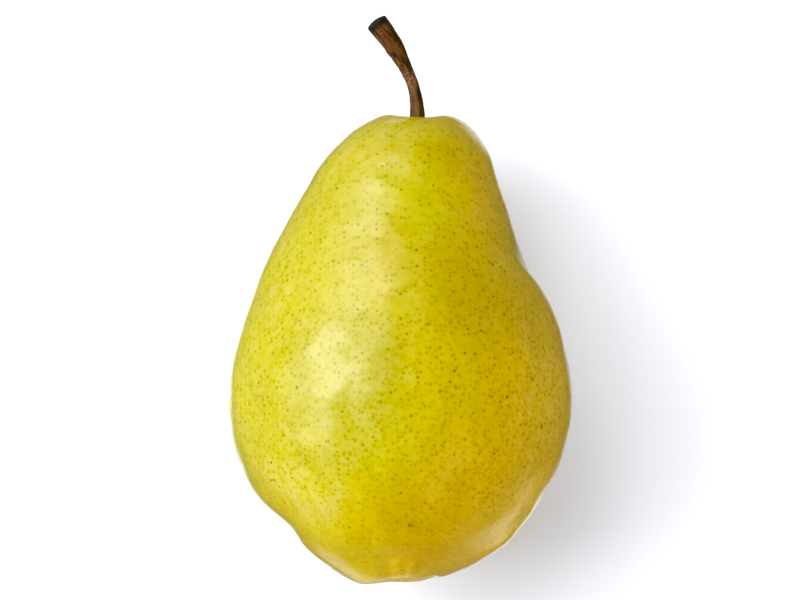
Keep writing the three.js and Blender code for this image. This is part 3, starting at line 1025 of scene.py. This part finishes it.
def make_bark(dots, dapple):
    """Dry bark: brown with lengthwise dark, ochre and reddish streaks, pale pores and flakes,
    painted shade down its right side, and a dark cut end. The streaks follow the bent stem because
    they read its straight places."""
    material, tree, shader = new_material("stem bark")
    straight = straight_place(tree)
    axes = axes_of(tree, straight)
    drawn_out = scaled(tree, straight, BARK_DRAW)
    grain = noise(tree, drawn_out, **BARK_GRAIN)
    bands = noise(tree, drawn_out, RED_BANDS_SIZE)
    colour = mixed(tree, faded(tree, grain, *OCHRE_GRAIN), BARK_BROWN, BARK_OCHRE)
    colour = mixed(tree, product(tree, faded(tree, bands, *RED_BANDS), RED_SHARE), colour, BARK_RED)
    colour = mixed(tree, faded(tree, grain, *DARK_GRAIN), colour, BARK_DARK)
    pores = use_group(tree, dots, {"Place": straight, **PORES})
    colour = mixed(tree, product(tree, pores["Middle"], PORE_SHARE), colour, PORE)
    soot = patches(tree, dapple, drawn_out, SOOT)
    colour = mixed(tree, product(tree, soot, SOOT_SHARE), colour, BARK_DARK)
    # painted shade: the stem's right side, away from the lamps, is darkened towards dark bark
    colour = mixed(tree, faded(tree, axes["X"], *PAINTED_SHADE_SIDE), colour, BARK_DARK)

    from_scar = math_of(
        tree, "ABSOLUTE", math_of(tree, "SUBTRACT", axes["Y"], SCAR_FLAKES_ALONG),
    )
    flakes = patches(tree, dapple, straight, SCAR_FLAKES)
    flaked = product(tree, flakes, faded(tree, from_scar, *SCAR_FLAKES_REACH))
    colour = mixed(tree, flaked, colour, FLAKED)
    cut = faded(tree, axes["Y"], *CUT_FADE)
    colour = mixed(tree, cut, colour, CUT_DARK)
    edge = faded(tree, noise(tree, straight, CUT_EDGE_SIZE), *CUT_EDGE_LEVELS)
    colour = mixed(tree, product(tree, cut, edge, CUT_EDGE_SHARE), colour, CUT_EDGE)

    height = total(tree, grain, product(tree, pores["Ring"], PORE_HEIGHT))
    set_inputs(tree, shader, {
        "Base Color": colour,
        "Roughness": faded(tree, grain, *BARK_ROUGHNESS),
        "Specular IOR Level": BARK_SHINE,
        "Normal": bumped(tree, height, BARK_BUMP),
    })
    return material


CALYX_BROWN = (0.085, 0.045, 0.020, 1)
CALYX_TAN = (0.24, 0.15, 0.075, 1)
CALYX_BLACK = (0.018, 0.012, 0.009, 1)
TAN_PATCHES = {"Size": 1.1, "Low": 0.45, "High": 0.7}
BLACK_PATCHES = {"Size": 1.9, "Low": 0.5, "High": 0.68}
CALYX_ROUGHNESS = (0.0, 1.0, 0.65, 0.9)
CALYX_GRAIN = {"size": 0.25, "detail": 3.0}
CALYX_BUMP = 0.1


def make_dried_calyx(dapple):
    """Dead matt sepals: dark brown with tan and nearly black patches and a fine grain."""
    material, tree, shader = new_material("dried calyx")
    place = place_in_mm(tree)
    tan = patches(tree, dapple, place, TAN_PATCHES)
    black = patches(tree, dapple, place, BLACK_PATCHES)
    colour = mixed(tree, black, mixed(tree, tan, CALYX_BROWN, CALYX_TAN), CALYX_BLACK)
    set_inputs(tree, shader, {
        "Base Color": colour,
        "Roughness": faded(tree, tan, *CALYX_ROUGHNESS),
        "Normal": bumped(tree, noise(tree, place, **CALYX_GRAIN), CALYX_BUMP),
    })
    return material


# ---- The studio ----

def make_camera():
    """A camera straight above the pear, with the stem pointing up in its picture."""
    data = bpy.data.cameras.new("camera")
    data.lens = CAMERA_LENS
    data.sensor_width = SENSOR_WIDTH
    camera = bpy.data.objects.new("camera", data)
    camera.location = CAMERA_PLACE
    bpy.context.scene.collection.objects.link(camera)
    bpy.context.scene.camera = camera


def make_softbox(name, mirrors, from_overhead, turned, distance, width, height, radiance):
    """A rectangular lamp of an even radiance, facing the pear from a direction given by its two
    angles, that either only mirrors in the skin or only lights. A flat lamp's power is its
    radiance times pi times its area."""
    down = np.radians(from_overhead)
    across = np.radians(turned)
    heading = Vector((
        -np.sin(down) * np.cos(across), np.sin(down) * np.sin(across), np.cos(down),
    ))
    data = bpy.data.lights.new(name, "AREA")
    data.shape = "RECTANGLE"
    data.size = width
    data.size_y = height
    data.energy = radiance * np.pi * width * height
    if mirrors:
        data.color = MIRRORED_TINT
    lamp = bpy.data.objects.new(name, data)
    lamp.location = Vector(LAMPS_AIM) + distance * heading
    lamp.rotation_euler = heading.to_track_quat("Z", "Y").to_euler()
    lamp.visible_camera = False
    lamp.visible_diffuse = not mirrors
    lamp.visible_glossy = mirrors
    bpy.context.scene.collection.objects.link(lamp)


def highest(tree, place, level, round_patches):
    """The highest of a level and, inside each of some round patches, that patch's own height."""
    ground = level
    for middle, full, none, height in round_patches:
        patch = near(tree, place, middle, full, none, height, ground)
        level = math_of(tree, "MAXIMUM", level, patch)
    return level


def make_floor():
    """A wide white matt table. Its mirror image in the skin is dim, but stays bright in some round
    patches and glows in two."""
    half = FLOOR_SIZE / 2
    corners = [(-half, -half, 0), (half, -half, 0), (half, half, 0), (-half, half, 0)]
    mesh = bpy.data.meshes.new("floor")
    mesh.from_pydata(corners, [], [(0, 1, 2, 3)])
    material, tree, shader = new_material("white table")
    place = place_in_mm(tree)
    in_mirror = add_node(tree, "ShaderNodeLightPath").outputs["Is Glossy Ray"]
    level = highest(tree, place, MIRRORED_TABLE, BRIGHT_PATCHES)
    image = tinted(tree, 1.0, TABLE_WHITE, grey(tree, level))
    glow = highest(tree, place, 0.0, GLOWING_PATCHES)
    set_inputs(tree, shader, {
        "Base Color": mixed(tree, in_mirror, TABLE_WHITE, image),
        "Roughness": TABLE_ROUGHNESS,
        "Specular IOR Level": 0.0,
        "Emission Color": GLOW_TINT,
        "Emission Strength": product(tree, in_mirror, glow),
    })
    material.cycles.emission_sampling = "NONE"
    mesh.materials.append(material)
    floor = bpy.data.objects.new("floor", mesh)
    bpy.context.scene.collection.objects.link(floor)


def make_light():
    """An even white room that doesn't mirror in the skin, softboxes that only mirror in it, others
    that only light, and a print whose lowest blue levels are cut off for clean yellows."""
    scene = bpy.context.scene
    world = bpy.data.worlds.new("studio")
    world.use_nodes = True
    room = world.node_tree.nodes["Background"].inputs
    room["Color"].default_value = ROOM_WHITE
    room["Strength"].default_value = ROOM_LIGHT
    world.cycles_visibility.glossy = False
    scene.world = world
    for name, sizes in MIRRORED_SOFTBOXES.items():
        make_softbox(name, True, *sizes)
    for name, sizes in LIGHTING_SOFTBOXES.items():
        make_softbox(name, False, *sizes)
    scene.view_settings.view_transform = "Standard"
    scene.view_settings.use_curve_mapping = True
    curves = scene.view_settings.curve_mapping
    curves.curves[BLUE_CURVE].points[0].location = (BLUE_FLOOR, 0)
    curves.update()


def main():
    """Builds the camera, the pieces and the studio."""
    make_camera()
    dots = make_dots_group()
    dapple = make_dapple_group()
    skin, straight = fruit_grids()
    add_piece("pear_skin", "fruit", make_skin(dots, dapple), [skin], straight)
    bark, straight = stem_grids()
    add_piece("stem_bark", "stem", make_bark(dots, dapple), [bark], straight)
    add_piece("calyx_crown", "calyx", make_dried_calyx(dapple), calyx_grids())
    make_floor()
    make_light()


main()
